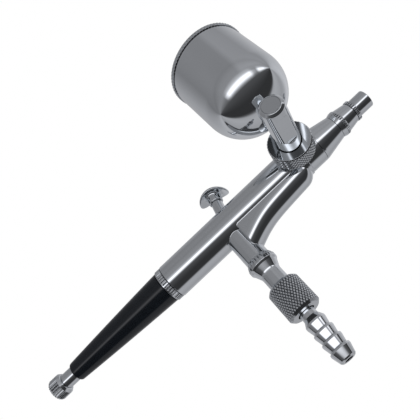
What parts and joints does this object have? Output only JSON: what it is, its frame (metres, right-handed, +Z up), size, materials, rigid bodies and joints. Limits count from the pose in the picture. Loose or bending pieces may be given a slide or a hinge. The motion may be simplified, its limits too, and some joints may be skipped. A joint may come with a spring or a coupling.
{
  "type": "airbrush",
  "caption": "Dual-action side-feed airbrush: chrome barrel with tapered nozzle, top trigger, air valve with hose barb, lidded paint cup on a swivelling arm, and a black tapered handle.",
  "frame": {"origin": "on the barrel's axis, at the middle of the plain rear barrel that a hand or a stand's clip holds, 16 mm behind the axis that the trigger and the air valve share", "axes": "+X along the barrel towards the nozzle, +Z up through the trigger and the cup, -Y along the arm that carries the cup"},
  "size_m": [0.1478, 0.0453, 0.0966],
  "materials": {
    "chrome": "bright polished chrome plate on brass",
    "black_lacquer": "gloss black lacquer on metal",
    "brass": "machined, unplated",
    "steel": "ground stainless steel",
    "seal": "smooth nitrile rubber",
    "packing": "smooth white fluoropolymer"
  },
  "bodies": {
    "gun": {"body_shell": "chrome", "head": "chrome", "nozzle_cap": "chrome", "needle_cap": "chrome", "fluid_nozzle": "brass", "nozzle_seal": "seal", "needle_packing": "packing", "packing_screw": "brass", "spring_case": "brass", "handle_ring": "chrome", "handle": "black_lacquer", "stop_bush": "brass", "needle_spring": "steel", "valve_spring": "steel", "valve_retainer": "brass", "valve_casing": "chrome", "socket_seal": "packing"},
    "air_valve": {"valve_plunger": "steel", "stem_oring": "seal", "valve_poppet": "steel", "valve_oring": "seal"},
    "trigger": {"trigger_stem": "chrome", "trigger_button": "chrome"},
    "aux_lever": {"aux_lever": "steel"},
    "needle": {"needle": "steel", "needle_guide": "brass", "chuck_nut": "steel"},
    "stop": {"stop_tip": "steel"},
    "stop_screw": {"stop_screw": "chrome", "stop_knob": "chrome"},
    "cup": {"cup_elbow": "chrome", "elbow_plug": "chrome", "cup_bowl": "chrome"},
    "cup_lid": {"cup_lid": "chrome"},
    "lock_nut": {"lock_nut": "chrome"},
    "union_nut": {"union_nut": "chrome"},
    "hose_barb": {"hose_barb": "chrome"}
  },
  "joints": [
    {"name": "trigger_press", "type": "slide", "parent": "gun", "child": "air_valve", "axis": [0, 0, -1], "range_m": [0, 0.002], "stiffness_N_per_m": 1500, "springref_m": -0.0015, "deforming": ["valve_spring"]},
    {"name": "trigger_pull", "type": "hinge", "parent": "air_valve", "child": "trigger", "pos_m": [0.016, 0, -0.0035], "axis": [0, -1, 0], "range_deg": [0, 20.2]},
    {"name": "aux_lever_tilt", "type": "hinge", "parent": "gun", "child": "aux_lever", "pos_m": [0.0124, 0, -0.0033], "axis": [0, -1, 0], "range_deg": [0, 20.2]},
    {"name": "needle_retract", "type": "slide", "parent": "gun", "child": "needle", "axis": [-1, 0, 0], "range_m": [0, 0.002], "stiffness_N_per_m": 600, "springref_m": -0.002, "deforming": ["needle_spring"]},
    {"name": "stop_feed", "type": "slide", "parent": "gun", "child": "stop", "axis": [1, 0, 0], "range_m": [0, 0.002]},
    {"name": "stop_turn", "type": "hinge", "parent": "stop", "child": "stop_screw", "pos_m": [-0.054, 0, 0], "axis": [-1, 0, 0], "range_deg": [0, 961]},
    {"name": "cup_swivel", "type": "hinge", "parent": "gun", "child": "cup", "pos_m": [0.0491, -0.005, 0], "axis": [0, -1, 0], "range_deg": [-90, 90]},
    {"name": "cup_lid_lift", "type": "slide", "parent": "cup", "child": "cup_lid", "axis": [0, 0, 1], "range_m": [0, 0.012]},
    {"name": "lock_nut_turn", "type": "hinge", "parent": "gun", "child": "lock_nut", "pos_m": [0.0491, -0.011, 0], "axis": [0, -1, 0], "continuous": true},
    {"name": "union_nut_turn", "type": "hinge", "parent": "gun", "child": "union_nut", "pos_m": [0.016, 0, -0.033], "axis": [0, 0, 1], "continuous": true},
    {"name": "hose_swivel", "type": "hinge", "parent": "gun", "child": "hose_barb", "pos_m": [0.016, 0, -0.045], "axis": [0, 0, 1], "continuous": true}
  ],
  "couplings": [
    {"joint": "trigger_pull", "follows": "needle_retract", "rad_per_m": 174.53},
    {"joint": "aux_lever_tilt", "follows": "needle_retract", "rad_per_m": 174.53},
    {"joint": "stop_turn", "follows": "stop_feed", "rad_per_m": 8377.6}
  ]
}
